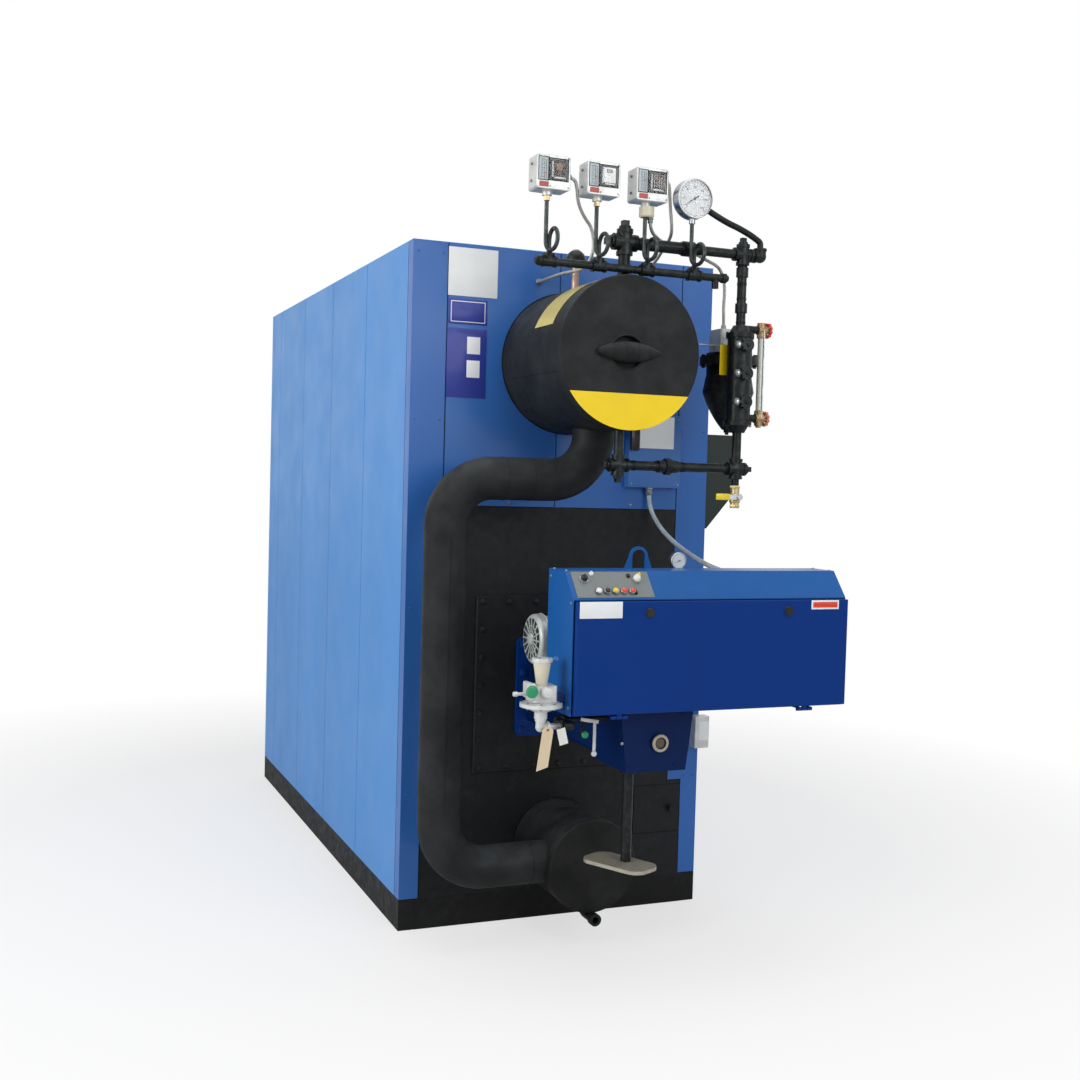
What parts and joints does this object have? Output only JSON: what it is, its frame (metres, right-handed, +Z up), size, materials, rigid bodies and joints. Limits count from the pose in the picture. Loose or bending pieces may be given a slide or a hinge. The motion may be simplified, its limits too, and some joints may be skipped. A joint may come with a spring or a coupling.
{
  "type": "industrial steam boiler",
  "caption": "Jacketed water-tube steam boiler with insulated front drums, a power burner with a hinged control cabinet, and threaded steam and water trim.",
  "frame": {"origin": "on the floor under the middle of the casing's footprint", "axes": "+X to the right seen from the front, -Y out of the burner front, +Z up"},
  "size_m": [1.391, 3.4734, 2.712],
  "materials": {
    "side_blue": "satin light blue enamel",
    "front_blue": "satin blue enamel",
    "burner_blue": "gloss dark blue enamel",
    "slope_blue": "gloss blue enamel",
    "furnace_black": "matte black paint",
    "base_black": "matte black paint",
    "insulation_black": "black closed-cell insulation",
    "pipe_black": "black malleable iron and steel pipe",
    "control_grey": "plated sheet cover",
    "dial_white": "white dial in a steel case",
    "cast_grey": "die-cast aluminium",
    "cream_plastic": "pale moulded cover",
    "panel_grey": "grey engraved panel",
    "brass_body": "brass casting",
    "lever_yellow": "yellow coated lever",
    "wheel_red": "red paint",
    "wheel_orange": "orange-red paint",
    "gauge_valves": "brass gauge valves with a glass tube",
    "conduit_grey": "spiral steel conduit",
    "box_green": "dark green enamel",
    "wiring_blue": "satin blue enamel",
    "bare_steel": "plain steel"
  },
  "bodies": {
    "boiler": {"access_plate": "furnace_black", "base_floor": "base_black", "base_rails": "base_black", "blowdown_pipe": "pipe_black", "blower_motor": "cast_grey", "blower_scroll": "burner_blue", "boiler_core": "furnace_black", "burner_flange": "burner_blue", "burner_housing": "burner_blue", "burner_leg": "pipe_black", "cleanout_door": "furnace_black", "control_cabinet": "slope_blue", "control_conduit": "conduit_grey", "control_junction": "cream_plastic", "control_manifold": "pipe_black", "cutoff_bowl": "pipe_black", "cutoff_conduit": "conduit_grey", "cutoff_switch_box": "control_grey", "downcomer": "insulation_black", "draft_gauge": "dial_white", "drain_valve": "brass_body", "equalizing_line": "pipe_black", "flue_collar": "bare_steel", "fuel_actuator": "cream_plastic", "fuel_regulator": "cast_grey", "gas_pipe": "pipe_black", "gauge_glass": "gauge_valves", "gauge_line": "pipe_black", "left_front_post": "front_blue", "left_side_panels": "side_blue", "lower_drum": "insulation_black", "lower_front_panel": "furnace_black", "main_conduit": "conduit_grey", "manhole_yoke": "insulation_black", "operator_panel": "panel_grey", "pigtail_siphons": "pipe_black", "pressure_control_1": "control_grey", "pressure_control_2": "control_grey", "pressure_control_3": "control_grey", "pressure_gauge": "dial_white", "rear_panels": "side_blue", "rear_posts": "side_blue", "relay_conduit": "conduit_grey", "right_front_post": "front_blue", "right_side_panels": "side_blue", "roof_panels": "side_blue", "service_box": "cream_plastic", "side_box": "box_green", "steam_header": "pipe_black", "steam_outlet": "bare_steel", "upper_drum": "insulation_black", "upper_drum_cap": "insulation_black", "upper_front_panels": "front_blue", "vent_valve": "pipe_black", "water_column": "pipe_black", "wiring_box": "wiring_blue"},
    "door": {"cabinet_door": "burner_blue"},
    "drain_lever": {"drain_lever": "lever_yellow"},
    "upper_wheel": {"upper_gauge_wheel": "wheel_red"},
    "lower_wheel": {"lower_gauge_wheel": "wheel_orange"}
  },
  "joints": [
    {"name": "cabinet_door_hinge", "type": "hinge", "parent": "boiler", "child": "door", "pos_m": [0.1805, -2.155, 0.915], "axis": [1, 0, 0], "range_deg": [0, 90]},
    {"name": "drain_lever_turn", "type": "hinge", "parent": "boiler", "child": "drain_lever", "pos_m": [0.466, -1.79, 1.612], "axis": [0, -1, 0], "range_deg": [0, 90]},
    {"name": "upper_gauge_wheel_turn", "type": "hinge", "parent": "boiler", "child": "upper_wheel", "pos_m": [0.5805, -1.76, 2.21], "axis": [1, 0, 0], "range_deg": [-180, 180]},
    {"name": "lower_gauge_wheel_turn", "type": "hinge", "parent": "boiler", "child": "lower_wheel", "pos_m": [0.5805, -1.76, 1.895], "axis": [1, 0, 0], "range_deg": [-180, 180]}
  ]
}
